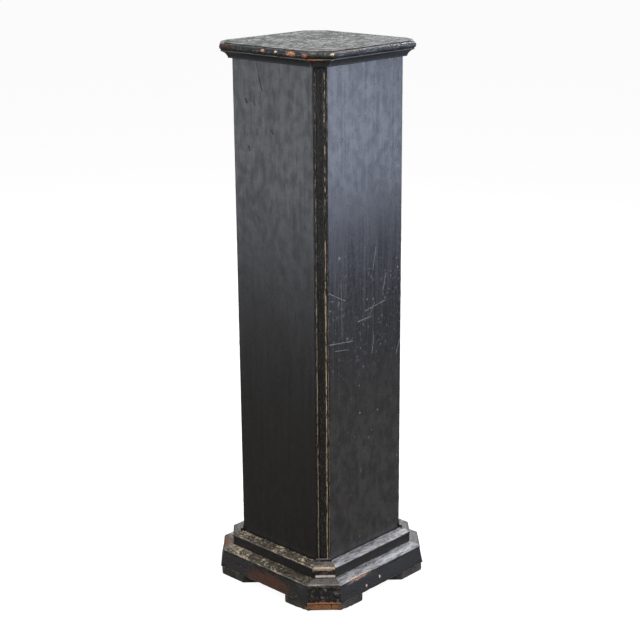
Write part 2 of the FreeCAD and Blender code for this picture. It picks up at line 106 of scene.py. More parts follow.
# Softboxes, in metres: place, point that they face and size, then tint and turn about their own
# axis in degrees. Their power is a setting.
SOFTBOXES = {
    "window": ((1.97, 1.19, 0.84), (0.12, 0, 0.84), (1.4, 1.45), "#dbe4ff", 22),
    "backdrop": ((-1.9, 2.0, 1.3), (0, 0, 0.9), (2.2, 2.4), "#f6f8f4", 0),
    "fill": ((-1.42, -1.97, 0.75), (0.1, 0, 0.75), (1.4, 1.4), "#edf1fb", -18),
    "rim": ((-0.1, 1.65, 1.95), (0, 0, 0.3), (1.2, 0.9), "#f5f7ff", 0),
    "overhead": ((0.35, -0.25, 2.7), (0, 0, 0.5), (1.6, 1.6), "#fffdf8", 0),
    "front": ((1.5, -1.6, 2.3), (0, 0, 0.3), (1.2, 1.0), "#fff6ea", 0),
}

# Light that the studio's white walls give, beside the softboxes.
WALL_GLOW = 0.1


# ---------------------------------------------------------------- settings

def linear(code):
    """An sRGB hex colour as linear red, green, blue and alpha."""
    channels = [int(code[place:place + 2], 16) / 255 for place in (1, 3, 5)]
    return tuple(c / 12.92 if c <= 0.04045 else ((c + 0.055) / 1.055) ** 2.4 for c in channels) + (1,)


class PlinthWearSettings(bpy.types.PropertyGroup):
    """How far age has rounded and dented the wood."""

    arris: FloatProperty(
        name="Arris", description="Rounding worn onto the sharp edges",
        default=0.9 * MM, min=0, unit="LENGTH", subtype="DISTANCE")
    unevenness: FloatProperty(
        name="Unevenness", description="Depth of the hollows that planing and shrinkage leave",
        default=0.35 * MM, min=0, unit="LENGTH", subtype="DISTANCE")
    nicks: FloatProperty(
        name="Nicks", description="Depth of the nicks along the edges",
        default=1.6 * MM, min=0, unit="LENGTH", subtype="DISTANCE")


class PlinthFinishSettings(bpy.types.PropertyGroup):
    """Colours of the paint and of the wood under it."""

    black: FloatVectorProperty(
        name="Lamp black", description="The black paint low on the plinth",
        default=linear("#181614")[:3], size=3, min=0, max=1, subtype="COLOR")
    # Partly painted sheen: this grey stands in for the light that the upper part catches, as well as for
    # dust and wax.
    bloom_and_sheen: FloatVectorProperty(
        name="Bloom", description="The grey that dust and wax leave on the upper part",
        default=linear("#2f3235")[:3], size=3, min=0, max=1, subtype="COLOR")


class PlinthStageSettings(bpy.types.PropertyGroup):
    """Camera and studio light."""

    lens: FloatProperty(
        name="Lens", description="Focal length on a 36 mm wide sensor",
        default=82.4, min=1, unit="CAMERA")
    azimuth: FloatProperty(
        name="Azimuth", description="Which way the camera looks, anticlockwise from +Y",
        default=math.radians(43.63), subtype="ANGLE")
    elevation: FloatProperty(
        name="Elevation", description="How far above the horizon the camera looks from",
        default=math.radians(17.13), subtype="ANGLE")
    roll: FloatProperty(
        name="Roll", description="Turn of the camera about its own axis",
        default=math.radians(-0.46), subtype="ANGLE")
    station: FloatVectorProperty(
        name="Station", description="Where the camera stands",
        default=(1.9434, -2.0375, 1.4113), size=3, unit="LENGTH", subtype="TRANSLATION")
    window: FloatProperty(
        name="Window", description="Power of the cool softbox on the right",
        default=34, min=0, unit="POWER")
    backdrop: FloatProperty(
        name="Backdrop", description="Power of the softbox behind the plinth",
        default=24, min=0, unit="POWER")
    fill: FloatProperty(
        name="Fill", description="Power of the neutral softbox on the left",
        default=17, min=0, unit="POWER")
    rim: FloatProperty(
        name="Rim", description="Power of the softbox high up behind",
        default=32, min=0, unit="POWER")
    overhead: FloatProperty(
        name="Overhead", description="Power of the softbox above",
        default=42, min=0, unit="POWER")
    front: FloatProperty(
        name="Front", description="Power of the softbox above the camera",
        default=30, min=0, unit="POWER")


# ---------------------------------------------------------------- nodes

# Sockets of a colour Mix node, whose names repeat: its share, its two colours and its result.
SHARE, UNDER, OVER, RESULT = 0, 6, 7, 2


def add(tree, kind, inputs=(), output=0, **settings):
    """Add a shader node, set its properties and its sockets, and return one of its outputs, if any.

    inputs are the sockets' values or links: in order, or by name or number.
    """
    node = tree.nodes.new("ShaderNode" + kind)
    for name, value in settings.items():
        setattr(node, name, value)
    for key, value in inputs.items() if isinstance(inputs, dict) else enumerate(inputs):
        if isinstance(value, bpy.types.NodeSocket):
            tree.links.new(value, node.inputs[key])
        else:
            node.inputs[key].default_value = value
    return node.outputs[output] if node.outputs else None


def new_material(name):
    """An empty material with a Principled shader: returns the material, its tree and the shader."""
    material = bpy.data.materials.new(name)
    material.use_nodes = True
    tree = material.node_tree
    tree.nodes.clear()
    shader = tree.nodes.new("ShaderNodeBsdfPrincipled")
    output = tree.nodes.new("ShaderNodeOutputMaterial")
    tree.links.new(shader.outputs["BSDF"], output.inputs["Surface"])
    return material, tree, shader


def millimetres(tree):
    """The surface's place in the plinth's own frame, in millimetres."""
    position = add(tree, "TexCoord", output="Object")
    return add(tree, "VectorMath", {"Vector": position, "Scale": 1 / MM}, operation="SCALE")


def pattern(tree, place, size, detail=2.0, roughness=0.5):
    """Noise whose blotches have the given size in millimetres along each axis."""
    scaled = add(tree, "VectorMath", (place, [1 / side for side in size]), operation="MULTIPLY")
    return add(tree, "TexNoise", {"Vector": scaled, "Scale": 1, "Detail": detail, "Roughness": roughness})


# ---------------------------------------------------------------- finishes

SMOOTH = {"interpolation_type": "SMOOTHSTEP"}

# Colours of the wood in a worn place, from a stained surface to chalky ground: tone, colour.
WOOD = ((STAINED, "#38211a"), (BROWN, "#84502f"), (FRESH, "#cf946c"), (CHALKY, "#d8cdb6"))

# Worn lines on a reeded face: place across it in millimetres, tone, half width and strength.
REED_LINES = ((-9.6, 1.0, 1.3, 0.65), (7.9, 0.95, 1.6, 1.0), (12.2, 0.95, 0.8, 0.6))

# Sizes in millimetres of the patterns in the paint; the brush marks go by the way the wood runs.
# Bristles leave marks a tenth as wide and grit is a tenth as large, so both are drawn coarser to show.
MOTTLE = (55, 55, 90)
BLOTCH = (9, 9, 9)
GRIT = (2.6, 2.6, 2.6)
BRUSHED = {"y": (5, 170, 5), "z": (5, 5, 190)}
PLATES = (5, 5, 3.85)
WRINKLES = ((34, 60, 34), (15, 26, 15))

# Heights in millimetres where the grey of bloom and painted sheen begins and is full, and how far up and
# down they wander.
BLOOM_AND_SHEEN_LOW, BLOOM_AND_SHEEN_HIGH = 380, 860
BLOOM_AND_SHEEN_WANDER = 450

# How far in millimetres the worn lines of the reeds sway across the post.
REED_SWAY = 2.6

# Over how many millimetres the band of hairlines fades in and out.
HAIRLINE_FADE = 140


class Ebonised:
    """Ebonised pine: lamp black in spirit varnish, brushed on, then rubbed and chipped by age.

    It gives a satin black with brush marks along the wood that greys higher up. That grey is partly bloom,
    where dust and wax have settled, and partly painted sheen: the light that falls on the upper part,
    painted into the colour. Each method lays one kind of wear over it, and some of them paint light as
    well.
    """

    def __init__(self, name, along="z", bloom_and_sheen=1.0, streaks=0.3):
        finish = bpy.context.scene.plinth_finish
        self.material, self.tree, self.shader = new_material(name)
        self.add = functools.partial(add, self.tree)
        self.place = millimetres(self.tree)
        self.grain = self.add("Attribute", output="Vector", attribute_name="grain")
        self.height = self.add("SeparateXYZ", [self.place], output="Z")
        self.mottle = pattern(self.tree, self.grain, MOTTLE, 3)
        self.streak = pattern(self.tree, self.grain, BRUSHED[along], 4, 0.6)
        self.blotch = pattern(self.tree, self.grain, BLOTCH, 3, 0.6)
        self.grit = pattern(self.tree, self.grain, GRIT, 3, 0.7)
        # Painted sheen with the bloom: the paint turns grey with height, partly for dust and wax, partly
        # for the light that falls on the upper part.
        cloud = self.add("Math", (self.mottle, BLOOM_AND_SHEEN_WANDER, -BLOOM_AND_SHEEN_WANDER / 2), operation="MULTIPLY_ADD")
        cloud = self.add("Math", (self.height, cloud), operation="ADD")
        bloom_and_sheen_share = self.add("MapRange", (cloud, BLOOM_AND_SHEEN_LOW, BLOOM_AND_SHEEN_HIGH, 0.05 * bloom_and_sheen, bloom_and_sheen), **SMOOTH)
        brushed = self.add("MapRange", (self.streak, 0.3, 0.7, 1 - streaks, 1 + streaks), **SMOOTH)
        bloom_and_sheen_share = self.add("Math", (bloom_and_sheen_share, brushed), operation="MULTIPLY")
        black, grey = (*finish.black, 1), (*finish.bloom_and_sheen, 1)
        paint = self.add("Mix", {SHARE: bloom_and_sheen_share, UNDER: black, OVER: grey}, output=RESULT, data_type="RGBA")
        shade = self.add("MapRange", (self.blotch, 0.25, 0.75, 0.75, 1.25), **SMOOTH)
        self.colour = self.add("VectorMath", {"Vector": paint, "Scale": shade}, operation="SCALE")
        self.relief = self.add("Math", (self.streak, 0.07), operation="MULTIPLY")
        self.worn = 0
        self.cloudy = 0

    def tint(self, mask, colour):
        """Lay a colour on the paint where the mask is 1."""
        self.colour = self.add("Mix", {SHARE: mask, UNDER: self.colour, OVER: colour},
                               output=RESULT, data_type="RGBA")

    def cover(self, mask, colour, depth=0.2):
        """Lay a rougher colour where the mask is 1, sunk by a depth in millimetres."""
        self.tint(mask, colour)
        self.relief = self.add("Math", (mask, -depth, self.relief), operation="MULTIPLY_ADD")
        self.worn = self.add("Math", (self.worn, mask), operation="MAXIMUM")

    def upward(self, mask):
        """Keep a mask only on faces that look up, where dust settles and things are knocked, and where
        light from above falls, which dust() paints in as a highlight.
        """
        normal = self.add("NewGeometry", output="Normal")
        level = self.add("SeparateXYZ", [normal], output="Z")
        facing_up = self.add("MapRange", (level, 0.25, 0.5), **SMOOTH)
        return self.add("Math", (mask, facing_up), operation="MULTIPLY")

    def dust(self, amount, code):
        """Grey dust and old wax rubbed into the upward faces, in soft streaks along the wood; the grey is
        also a painted highlight, the light that upward faces catch from above.
        """
        streaks = pattern(self.tree, self.grain, (5, 24, 5), 5, 0.8)
        mask = self.add("MapRange", (streaks, 0.4, 0.6, amount * 0.2, amount), **SMOOTH)
        self.tint(self.upward(mask), linear(code))

    def wood(self, tone):
        """Colour of the wood in a worn place, uneven round a tone from 0 to 1."""
        uneven = self.add("Math", (self.grit, 0.9, -0.45), operation="MULTIPLY_ADD")
        uneven = self.add("Math", (uneven, tone), operation="ADD")
        colour = linear(WOOD[0][1])
        for (before, _), (after, code) in zip(WOOD, WOOD[1:]):
            share = self.add("MapRange", (uneven, before, after))
            colour = self.add("Mix", {SHARE: share, UNDER: colour, OVER: linear(code)},
                              output=RESULT, data_type="RGBA")
        return colour

    def rub_edges(self, amount, tone=CHALKY, reach=2.2):
        """Paint rubbed off the edges: more of them, and wider, as amount goes from 0 to 1."""
        inside = self.add("AmbientOcclusion", {"Distance": reach * MM}, output="AO",
                          inside=True, only_local=True, samples=6)
        edge = self.add("Math", (1, inside), operation="SUBTRACT")
        edge = self.add("Math", (edge, self.blotch), operation="ADD")
        mask = self.add("MapRange", (edge, 1.08 - amount * 0.3, 1.24 - amount * 0.3, 0, 0.9), **SMOOTH)
        joint = self.add("Attribute", output="Fac", attribute_name="joint")
        mask = self.add("MapRange", (joint, 0, 0.6, mask, 0))
        self.cover(mask, self.wood(tone))

    def speckle(self, amount):
        """Small pale specks where the upward faces have been rubbed, coarser than real so they show."""
        speck = pattern(self.tree, self.grain, (2.2, 7, 2.2), 4, 0.85)
        speck = self.add("Math", (self.blotch, 0.4, speck), operation="MULTIPLY_ADD")
        speck = self.add("Math", (self.mottle, 0.5, speck), operation="MULTIPLY_ADD")
        mask = self.add("MapRange", (speck, 1.08 - amount * 0.14, 1.16 - amount * 0.14, 0, 0.9), **SMOOTH)
        self.cover(self.upward(mask), self.wood(CHALKY))

    def patches(self):
        """Bare wood where the mesh carries a worn patch, with a ragged rim."""
        bare = self.add("Attribute", output="Fac", attribute_name="bare")
        tone = self.add("Attribute", output="Fac", attribute_name="tone")
        ragged = self.add("Math", (self.grit, 1.2, bare), operation="MULTIPLY_ADD")
        ragged = self.add("MapRange", (ragged, 0.92, 1.1), **SMOOTH)
        here = self.add("MapRange", (bare, 0.02, 0.1), **SMOOTH)
        self.cover(self.add("Math", (ragged, here), operation="MULTIPLY"), self.wood(tone), 0.3)

    def dots(self, spacing):
        """Clusters of pale chips, the given spacing apart, drawn coarser than real so that they show."""
        away = self.add("TexVoronoi", {"Vector": self.place, "Scale": 1 / spacing}, output="Distance")
        limit = self.add("MapRange", (self.blotch, 0.48, 0.7, 0.06, 0.2), **SMOOTH)
        mask = self.add("MapRange", (away, limit, 0.05, 0, 0.8), **SMOOTH)
        chipped = self.add("MapRange", (self.mottle, 0.46, 0.58), **SMOOTH)
        self.cover(self.add("Math", (mask, chipped), operation="MULTIPLY"), linear("#a9a59c"), 0.1)

    def smoke(self, amount):
        """Cloudy dark and light places where wax and soot have settled unevenly."""
        clouds = pattern(self.tree, self.grain, (16, 16, 24), 5, 0.65)
        shade = self.add("MapRange", (clouds, 0.32, 0.68, 1 - amount, 1 + amount), **SMOOTH)
        self.colour = self.add("VectorMath", {"Vector": self.colour, "Scale": shade}, operation="SCALE")
        self.cloudy = self.add("MapRange", (clouds, 0.35, 0.65, amount * 0.16, amount * -0.06), **SMOOTH)

    def hairlines(self, low, high):
        """Fine curling scratches between two heights, drawn about 1 mm wide so that they show."""
        band = self.add("MapRange", (self.height, low, low + HAIRLINE_FADE), **SMOOTH)
        above = self.add("MapRange", (self.height, high, high - HAIRLINE_FADE), **SMOOTH)
        band = self.add("Math", (band, above), operation="MULTIPLY")
        for size in ((60, 16, 70), (60, 50, 14)):
            ridge = pattern(self.tree, self.grain, size, 2)
            ridge = self.add("Math", (ridge, 0.5), operation="SUBTRACT")
            ridge = self.add("Math", [ridge], operation="ABSOLUTE")
            line = self.add("MapRange", (ridge, 0.014, 0.004), **SMOOTH)
            broken = self.add("MapRange", (self.blotch, 0.52, 0.68, 0, 0.4), **SMOOTH)
            line = self.add("Math", (line, broken), operation="MULTIPLY")
            self.cover(self.add("Math", (line, band), operation="MULTIPLY"), linear("#a3a4a4"), 0.1)

    def scuffs(self, height, amount):
        """Neutral cloudy scuffing below a height, where shoes and brooms have rubbed."""
        low = self.add("MapRange", (self.height, height, height * 0.45, 0, amount), **SMOOTH)
        clouds = pattern(self.tree, self.grain, (22, 22, 30), 5, 0.7)
        clouds = self.add("MapRange", (clouds, 0.38, 0.62, 0.35, 1), **SMOOTH)
        mask = self.add("Math", (low, clouds), operation="MULTIPLY")
        self.tint(mask, linear("#5c5a55"))

    def nose_line(self, amount):
        """A broken pale line where the small round of a moulding's nose has been rubbed."""
        normal = self.add("NewGeometry", output="Normal")
        level = self.add("SeparateXYZ", [normal], output="Z")
        away = self.add("Math", (level, 0.52), operation="SUBTRACT")
        away = self.add("Math", [away], operation="ABSOLUTE")
        line = self.add("MapRange", (away, 0.3, 0.12), **SMOOTH)
        broken = pattern(self.tree, self.grain, (4, 26, 4), 5, 0.75)
        broken = self.add("MapRange", (broken, 0.62 - amount * 0.2, 0.74 - amount * 0.2, 0, 0.85), **SMOOTH)
        self.cover(self.add("Math", (line, broken), operation="MULTIPLY"), self.wood(0.9))

    def scratches(self, lines, code="#9b9c9c"):
        """Straight scratches: each has its start, its end, its half width and its strength.

        They are drawn a few times as wide as real ones so that they show.
        """
        for start, end, width, strength in lines:
            start, end = Vector(start), Vector(end)
            run = end - start
            offset = self.add("VectorMath", (self.place, start), operation="SUBTRACT")
            along = self.add("VectorMath", (offset, run / run.length_squared),
                             output="Value", operation="DOT_PRODUCT")
            share = self.add("Clamp", [along])
            nearest = self.add("VectorMath", {"Vector": run, "Scale": share}, operation="SCALE")
            away = self.add("VectorMath", (offset, nearest), output="Value", operation="DISTANCE")
            mask = self.add("MapRange", (away, width, width * 0.2, 0, strength), **SMOOTH)
            broken = self.add("MapRange", (self.grit, 0.35, 0.55, 0.2, 1), **SMOOTH)
            self.cover(self.add("Math", (mask, broken), operation="MULTIPLY"), linear(code), 0.15)

    def reeds(self):
        """Beads worn through to pale ground in thin broken lines, most of all on the lower half."""
        across = self.add("SeparateXYZ", [self.grain], output="Y")
        sway = pattern(self.tree, self.grain, (9, 9, 26), 3)
        across = self.add("Math", (sway, REED_SWAY, across), operation="MULTIPLY_ADD")
        low = self.add("MapRange", (self.height, 800, 500, 0, 0.09), **SMOOTH)
        for bead, tone, width, strength in REED_LINES:
            away = self.add("Math", (across, bead + REED_SWAY / 2), operation="SUBTRACT")
            away = self.add("Math", [away], operation="ABSOLUTE")
            line = self.add("MapRange", (away, width, width * 0.2), **SMOOTH)
            broken = pattern(self.tree, self.grain, (3, 2 + width, 13), 5, 0.8)
            broken = self.add("Math", (broken, low), operation="ADD")
            broken = self.add("MapRange", (broken, 0.5, 0.6, 0, strength), **SMOOTH)
            self.cover(self.add("Math", (line, broken), operation="MULTIPLY"), self.wood(tone))
        fleck = pattern(self.tree, self.grain, (1.6, 1.6, 5), 3, 0.8)
        self.cover(self.add("MapRange", (fleck, 0.57, 0.67, 0, 0.6), **SMOOTH), linear("#8d8a80"), 0.1)

    def craze(self, depth):
        """Thick varnish shrunk into small shiny plates with pale cracks between them."""
        plate = [1 / side for side in PLATES]
        squeezed = self.add("VectorMath", (self.grain, plate), operation="MULTIPLY")
        edge = self.add("TexVoronoi", {"Vector": squeezed, "Scale": 1}, feature="DISTANCE_TO_EDGE")
        crack = self.add("MapRange", (edge, 0.11, 0.02), **SMOOTH)
        pale = self.add("MapRange", (self.blotch, 0.45, 0.68, 0.05, 0.9), **SMOOTH)
        self.cover(self.add("Math", (crack, pale), operation="MULTIPLY"), linear("#8b8487"), depth)

    def wrinkle(self, depth):
        """Varnish that has crept into long soft wrinkles, with painted shade: their hollows are painted
        near black where the folds turn from the light.
        """
        for size in WRINKLES:
            fold = pattern(self.tree, self.grain, size, 4, 0.6)
            fold = self.add("Math", (fold, 0.5), operation="SUBTRACT")
            fold = self.add("Math", [fold], operation="ABSOLUTE")
            painted_shade_in_fold = self.add("MapRange", (fold, 0.05, 0.0, 0, 0.85), **SMOOTH)
            # Painted shade: the hollow of each fold is laid near black.
            self.cover(painted_shade_in_fold, linear("#17181a"), 0)
            self.relief = self.add("Math", (painted_shade_in_fold, -depth, self.relief), operation="MULTIPLY_ADD")

    def pit(self, depth):
        """Fine pits all over, as thick old paint has."""
        self.relief = self.add("Math", (self.grit, depth, self.relief), operation="MULTIPLY_ADD")

    def finish(self, gloss):
        """Link the layers to the shader; gloss is the roughness of sound varnish."""
        normal = self.add("Bump", {"Strength": 1, "Distance": MM, "Height": self.relief})
        rough = self.add("MapRange", (self.streak, 0.3, 0.7, gloss - 0.05, gloss + 0.05), **SMOOTH)
        rough = self.add("Math", (rough, self.cloudy), operation="ADD")
        rough = self.add("Math", (self.worn, 0.35, rough), operation="MULTIPLY_ADD")
        self.tree.links.new(self.colour, self.shader.inputs["Base Color"])
        self.tree.links.new(rough, self.shader.inputs["Roughness"])
        self.tree.links.new(normal, self.shader.inputs["Normal"])
        self.shader.inputs["IOR"].default_value = 1.52
        return self.material


def bare_pine(name):
    """Bare pine, sawn and planed, browned by a century of air: soft bands of early and late wood."""
    material, tree, shader = new_material(name)
    place = millimetres(tree)
    warp = pattern(tree, place, (90, 40, 90), 2)
    rings = [1 / side for side in (100, 6.25, 6.25)]
    squeezed = add(tree, "VectorMath", (place, rings), operation="MULTIPLY")
    warped = add(tree, "VectorMath", (squeezed, warp), operation="ADD")
    bands = add(tree, "TexWave", {"Vector": warped, "Scale": 0.5, "Distortion": 1.5, "Detail": 2},
                output="Fac", bands_direction="Y")
    fibre = pattern(tree, place, (60, 1.6, 1.6), 3)
    colour = add(tree, "Mix", {SHARE: bands, UNDER: linear("#8f6a45"), OVER: linear("#6e4c2e")},
                 output=RESULT, data_type="RGBA")
    dark = add(tree, "MapRange", (fibre, 0.45, 0.75, 0, 0.6), **SMOOTH)
    colour = add(tree, "Mix", {SHARE: dark, UNDER: colour, OVER: linear("#4c3522")},
                 output=RESULT, data_type="RGBA")
    relief = add(tree, "Math", (bands, 0.5, fibre), operation="MULTIPLY_ADD")
    normal = add(tree, "Bump", {"Strength": 0.6, "Distance": 0.2 * MM, "Height": relief})
    rough = add(tree, "MapRange", (fibre, 0.3, 0.7, 0.62, 0.8), **SMOOTH)
    tree.links.new(colour, shader.inputs["Base Color"])
    tree.links.new(rough, shader.inputs["Roughness"])
    tree.links.new(normal, shader.inputs["Normal"])
    return material


def dull_steel(name):
    """Drawn and turned steel screws gone dull: grey metal with brown rust in blotches."""
    material, tree, shader = new_material(name)
    blotch = pattern(tree, millimetres(tree), (2.2, 2.2, 2.2), 4, 0.6)
    rust = add(tree, "MapRange", (blotch, 0.45, 0.6), **SMOOTH)
    colour = add(tree, "Mix", {SHARE: rust, UNDER: linear("#77736e"), OVER: linear("#5a3a26")},
                 output=RESULT, data_type="RGBA")
    normal = add(tree, "Bump", {"Strength": 0.5, "Distance": 0.1 * MM, "Height": rust})
    rough = add(tree, "MapRange", (rust, 0, 1, 0.42, 0.8))
    metallic = add(tree, "MapRange", (rust, 0, 1, 1, 0.1))
    tree.links.new(colour, shader.inputs["Base Color"])
    tree.links.new(rough, shader.inputs["Roughness"])
    tree.links.new(metallic, shader.inputs["Metallic"])
    tree.links.new(normal, shader.inputs["Normal"])
    return material


def backdrop_paper(name):
    """Matt white backdrop paper, pale and even, with only a faint shadow on it."""
    material, tree, shader = new_material(name)
    fibre = pattern(tree, millimetres(tree), (30, 30, 30), 3)
    seen = add(tree, "LightPath", output="Is Camera Ray")
    white = add(tree, "Mix", {SHARE: fibre, UNDER: linear("#8c8c8c"), OVER: linear("#929292")},
                output=RESULT, data_type="RGBA")
    colour = add(tree, "Mix", {SHARE: seen, UNDER: linear("#6e6b65"), OVER: white},
                 output=RESULT, data_type="RGBA")
    glow = add(tree, "Math", (seen, 0.93), operation="MULTIPLY")
    tree.links.new(colour, shader.inputs["Base Color"])
    tree.links.new(glow, shader.inputs["Emission Strength"])
    shader.inputs["Emission Color"].default_value = (1, 1, 1, 1)
    shader.inputs["Roughness"].default_value = 0.95
    return material


# ---------------------------------------------------------------- worn copies of the pieces

def facing(node):
    """Which way a piece faces, in degrees anticlockwise from +X."""
    ways = {**SIDES, **CORNERS}
    endings = [ending for ending in ways if node.endswith("_" + ending)]
    return ways[max(endings, key=len)] if endings else 0


def slice_across(bm, axis, cell):
    """Cut the mesh across one axis into strips about one cell wide."""
    places = [vert.co[axis] for vert in bm.verts]
    low, high = min(places), max(places)
    count = round((high - low) / cell)
    normal = Vector([1.0 if number == axis else 0.0 for number in range(3)])
    for number in range(1, count):
        point = normal * (low + (high - low) * number / count)
        bmesh.ops.bisect_plane(bm, geom=bm.verts[:] + bm.edges[:] + bm.faces[:],
                               plane_co=point, plane_no=normal, dist=WELD / 5)


def patch_share(place, patch):
    """How far inside a worn patch a point is: 1 at its middle, 0 at its ragged rim."""
    middle, radii = patch[:2]
    away = Vector([(place[n] - middle[n]) / radii[n] for n in range(3)]).length
    return max(0.0, 1 - away * (1 + 0.35 * noise.noise(place / RIM_SPACING)))


def touches(node, patch):
    """Whether a worn patch reaches a CAD piece."""
    low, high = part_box(node)
    middle, radii = patch[:2]
    return all(low[n] / MM - radii[n] < middle[n] < high[n] / MM + radii[n] for n in range(3))


def refine(bm, patch, to_frame):
    """Divide the mesh finely where a patch lies."""
    for _ in range(3):
        long_edges = [
            edge for edge in bm.edges
            if edge.calc_length() > PATCH_CELL
            and patch_share(to_frame @ ((edge.verts[0].co + edge.verts[1].co) / 2) / MM, patch) > 0
        ]
        if long_edges:
            bmesh.ops.subdivide_edges(bm, edges=long_edges, cuts=1, use_grid_fill=True)


def closes_a_joint(face):
    """Whether a face of a piece turned to face +X looks along Y, as glued ends and mitres do."""
    return abs(face.normal.y) > 0.8


def wear_down(bm, layers, number, to_frame, patches):
    """Sink the surface where age did, and mark where the paint has gone."""
    wear = bpy.context.scene.plinth_wear
    shift = Vector((GRAIN_STEP * number, 0, 0))
    bm.normal_update()
    moves = []
    for vert in bm.verts:
        place = vert.co / MM + shift
        vert[layers["grain"]] = place
        depth = wear.unevenness * (0.5 + 0.5 * noise.noise(place / HOLLOW_SPACING))
        vert[layers["joint"]] = float(any(closes_a_joint(face) for face in vert.link_faces))
        if any(face[layers["arris"]] for face in vert.link_faces):
            depth += wear.nicks * max(0.0, noise.noise(place / NICK_SPACING) - 0.18)
            depth += wear.nicks * 0.35 * max(0.0, noise.noise(place / CHIP_SPACING + shift) - 0.1)
        spot = to_frame @ vert.co / MM
        for patch in patches:
            share = patch_share(spot, patch)
            if share > 0:
                depth += patch[2] * MM * min(1.0, share * 2.5)
                if share > vert[layers["bare"]]:
                    vert[layers["bare"]] = share
                    vert[layers["tone"]] = patch[3]
        moves.append((vert, vert.normal * depth))
    for vert, move in moves:
        vert.co -= move


def worn_copy(node, number, cells, patches=(), arris_share=1.0):
    """A worn copy of a CAD piece: rounded arrises, uneven faces, nicks and bare patches.

    The number picks its own stretch of grain. The cells are the mesh's spacing in millimetres along
    each axis of the piece, turned to face +X, or None where it isn't divided.
    """
    wear = bpy.context.scene.plinth_wear
    to_piece = Matrix.Rotation(-math.radians(facing(node)), 3, "Z")
    to_frame = to_piece.inverted()
    bm = bmesh.new()
    bm.from_mesh(NODES[node].data)
    layers = {
        "arris": bm.faces.layers.int.new("arris"),
        "bare": bm.verts.layers.float.new("bare"),
        "tone": bm.verts.layers.float.new("tone"),
        "joint": bm.verts.layers.float.new("joint"),
        "grain": bm.verts.layers.float_vector.new("grain"),
    }
    bmesh.ops.transform(bm, matrix=to_piece.to_4x4(), verts=bm.verts)
    bmesh.ops.remove_doubles(bm, verts=bm.verts, dist=WELD)
    bmesh.ops.dissolve_limit(bm, angle_limit=FLAT_ANGLE, verts=bm.verts, edges=bm.edges)
    bm.normal_update()
    sharp = [edge for edge in bm.edges if edge.calc_face_angle(0) > ARRIS_ANGLE
             and not any(closes_a_joint(face) for face in edge.link_faces)]
    rounded = bmesh.ops.bevel(bm, geom=sharp, offset=wear.arris * arris_share, affect="EDGES",
                              segments=2, profile=0.5, material=-1, clamp_overlap=True)
    for face in rounded["faces"]:
        face[layers["arris"]] = 1
    for axis, cell in enumerate(cells):
        if cell:
            slice_across(bm, axis, cell * MM)
    own = [patch for patch in patches if touches(node, patch)]
    for patch in own:
        refine(bm, patch, to_frame)
    wear_down(bm, layers, number, to_frame, own)
    bmesh.ops.transform(bm, matrix=to_frame.to_4x4(), verts=bm.verts)
    for face in bm.faces:
        face.smooth = True
    for edge in bm.edges:
        edge.smooth = edge.calc_face_angle(0) < CREASE_ANGLE
    mesh = bpy.data.meshes.new("worn_" + node)
    bm.to_mesh(mesh)
    bm.free()
    piece = bpy.data.objects.new("worn_" + node, mesh)
    bpy.context.scene.collection.objects.link(piece)
    weights = piece.modifiers.new("face weights", "WEIGHTED_NORMAL")
    weights.keep_sharp = True
    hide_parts(node)
    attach(piece, "root")
    return piece


def worn_group(stem, endings, first, cells, patches=(), arris_share=1.0):
    """Worn copies of the like pieces round the plinth, with grain numbers from the first on."""
    return [
        worn_copy(f"{stem}_{ending}", first + n, cells, patches, arris_share)
        for n, ending in enumerate(endings)
    ]


# ---------------------------------------------------------------- worn patches and scratches

def front_right(box, level):
    """The front right corner of a box in millimetres, at its foot (level 0) or its top (level 1)."""
    return [round(value / MM, 3) for value in (box[1][0], box[0][1], box[level][2])]


# Corners and the face that the worn places are measured from.
TOP_CORNER = front_right(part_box("top_board"), 1)
FLOOR_CORNER = front_right(CAD_BOX, 0)
BOARD_FACE = round(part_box("shaft_board_right")[1][0] / MM, 3)


def from_corner(corner, *places):
    """Places in the plinth's frame, from their offsets from a corner."""
    return [tuple(start + step for start, step in zip(corner, place)) for place in places]


def patches_from(corner, patches):
    """Worn patches in the plinth's frame."""
    return [(*from_corner(corner, middle), reach, depth, tone) for middle, reach, depth, tone in patches]


def lines_from(corner, lines):
    """Worn lines in the plinth's frame."""
    return [(*from_corner(corner, start, end), width, strength) for start, end, width, strength in lines]


def lines_on_board(side, lines):
    """Marks on the face of a shaft board, in the plinth's frame."""
    turn = Matrix.Rotation(math.radians(SIDES[side]), 3, "Z")
    return [
        (turn @ Vector((BOARD_FACE, *start)), turn @ Vector((BOARD_FACE, *end)), width, strength)
        for start, end, width, strength in lines
    ]


# Worn patches: offset of the middle from the corner, reach, depth (all in millimetres) and tone.
TOP_PATCHES = patches_from(TOP_CORNER, [
    ((-246, 0, -6), (26, 7, 7), 0.5, STAINED),
    ((-217, 0, -6), (4, 5, 4), 0.8, STAINED),
    ((-147, 0, -5), (8, 5, 6), 0.9, FRESH),
    ((-113, 0, -5), (6, 4, 4), 0.7, CHALKY),
    ((-75, 0, -6), (19, 7, 8), 1.0, 0.6),
    ((-41, 1, -8), (10, 7, 8), 1.1, 0.45),
    ((-33, 3, -10), (6, 6, 5), 0.8, STAINED),
    ((-3, 33, -4), (6, 9, 7), 1.0, CHALKY),
])
CORNICE_PATCHES = patches_from(TOP_CORNER, [
    ((-39, 9, -17), (10, 8, 6), 0.8, BROWN),
    ((-25, 20, -20), (8, 8, 5), 0.6, STAINED),
    ((-8, 40, -18), (5, 12, 3), 0.6, CHALKY),
])
STEP_PATCHES = patches_from(FLOOR_CORNER, [
    ((-66.4, 55.4, 95), (14, 6, 4), 0.5, FRESH),
    ((-55.4, 66.4, 95), (6, 14, 4), 0.5, FRESH),
])
